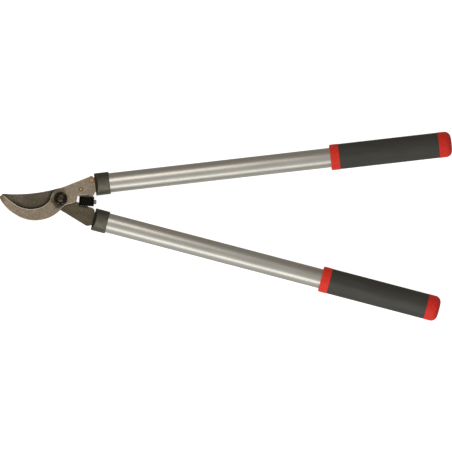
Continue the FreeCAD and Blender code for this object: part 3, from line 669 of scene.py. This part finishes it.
def make_pieces(materials):
    """Gives every CAD node its material, and a rounded copy to those with hard edges."""
    for node, item in frame["nodes"].items():
        item.material_slots[0].material = materials[node]
    for node, width in ROUNDING.items():
        make_rounded(node, materials[node], width)


# ---------------------------------------------------------------------------------------------------
# Studio


FLOOR = {
    "Base Color": (0.93, 0.93, 0.93, 1.0),
    "Roughness": 0.9,
    "Specular IOR Level": 0.1,
    "Emission Color": (1.0, 1.0, 1.0, 1.0),
    "Emission Strength": 0.80,
}

# The surroundings' colours: near side and far side, above and below the floor's level.
ABOVE_TONES = ((0.60, 0.60, 0.57), (0.30, 0.282, 0.248))
BELOW_TONES = ((0.62, 0.62, 0.575), (0.30, 0.28, 0.235))
OVERHEAD_TONE = (0.555, 0.538, 0.50)
BACKDROP_TONE = (0.97, 0.97, 0.97)


def make_floor():
    """A wide pale floor that the tool lies on."""
    bpy.ops.mesh.primitive_plane_add(size=40.0, location=(0, 0, 0))
    floor = bpy.context.object
    floor.name = "floor"
    material = bpy.data.materials.new("pale_floor")
    material.use_nodes = True
    shader = material.node_tree.nodes["Principled BSDF"]
    for socket, value in FLOOR.items():
        shader.inputs[socket].default_value = value
    floor.data.materials.append(material)
    floor.visible_glossy = False
    floor.visible_diffuse = False


def make_light(name, place, target, size, watts, colour):
    """A soft rectangular lamp at a place, facing a target; its size is (along X, across)."""
    lamp = bpy.data.lights.new(name, "AREA")
    lamp.shape = "RECTANGLE"
    lamp.size, lamp.size_y = size
    lamp.energy = watts
    lamp.color = colour
    item = bpy.data.objects.new(name, lamp)
    item.location = place
    aim = Vector(target) - Vector(place)
    item.rotation_mode = "QUATERNION"
    item.rotation_quaternion = aim.to_track_quat("-Z", "Y")
    item.visible_camera = False
    bpy.context.scene.collection.objects.link(item)


def make_world():
    """Grey surroundings, dim on the far side and brighter on the near side, and pale to the camera."""
    world = bpy.data.worlds.new("studio")
    bpy.context.scene.world = world
    world.use_nodes = True
    tree = world.node_tree

    def step(value, low, high):
        """0 to 1 as the value goes from low to high."""
        ramp = tree.nodes.new("ShaderNodeMapRange")
        tree.links.new(value, ramp.inputs["Value"])
        ramp.inputs["From Min"].default_value = low
        ramp.inputs["From Max"].default_value = high
        return ramp.outputs["Result"]

    def mix(share, first, second):
        """From the first tone to the second by the given share."""
        node = tree.nodes.new("ShaderNodeMix")
        node.data_type = "RGBA"
        tree.links.new(share, node.inputs["Factor"])
        for socket, tone in ((node.inputs["A"], first), (node.inputs["B"], second)):
            if isinstance(tone, tuple):
                socket.default_value = (*tone, 1.0)
            else:
                tree.links.new(tone, socket)
        return node.outputs["Result"]

    place = tree.nodes.new("ShaderNodeTexCoord")
    parts = tree.nodes.new("ShaderNodeSeparateXYZ")
    tree.links.new(place.outputs["Generated"], parts.inputs[0])
    far_side = step(parts.outputs["Y"], -0.75, 0.75)
    above = mix(far_side, *ABOVE_TONES)
    below = mix(far_side, *BELOW_TONES)
    around = mix(step(parts.outputs["Z"], -0.1, 0.1), below, above)
    lighting = mix(step(parts.outputs["Z"], 0.75, 0.97), around, OVERHEAD_TONE)
    seen = tree.nodes.new("ShaderNodeLightPath")
    shown = mix(seen.outputs["Is Camera Ray"], lighting, BACKDROP_TONE)
    tree.links.new(shown, tree.nodes["Background"].inputs["Color"])


def make_camera():
    """A long lens straight above, turned a few degrees, with the whole tool in view."""
    height = 6.0
    width_seen = 0.678
    from_pivot = Vector((0.2500, -0.0236, height))
    lens = bpy.data.cameras.new("camera")
    lens.sensor_width = 36.0
    lens.lens = lens.sensor_width * height / width_seen
    lens.clip_end = 100.0
    camera = bpy.data.objects.new("camera", lens)
    camera.location = PIVOT + from_pivot
    camera.rotation_euler = (0, 0, math.radians(4.09))
    bpy.context.scene.collection.objects.link(camera)
    bpy.context.scene.camera = camera


def make_studio():
    """Floor, surroundings, a small warm lamp for the head, a long one for the handles, and camera."""
    make_floor()
    make_world()
    make_light(
        "head_softbox",
        place=(-0.24, 0.33, 0.55),
        target=(-0.22, 0.05, 0.0),
        size=(0.45, 0.26),
        watts=0.85,
        colour=(1.0, 0.93, 0.86),
    )
    make_light(
        "long_softbox",
        place=(-0.40, -1.05, 0.78),
        target=(-0.40, 0.0, 0.0),
        size=(1.7, 0.48),
        watts=5.4,
        colour=(1.0, 0.985, 0.95),
    )
    make_camera()
    bpy.context.scene.view_settings.view_transform = "Standard"


make_pieces(make_materials())
make_studio()
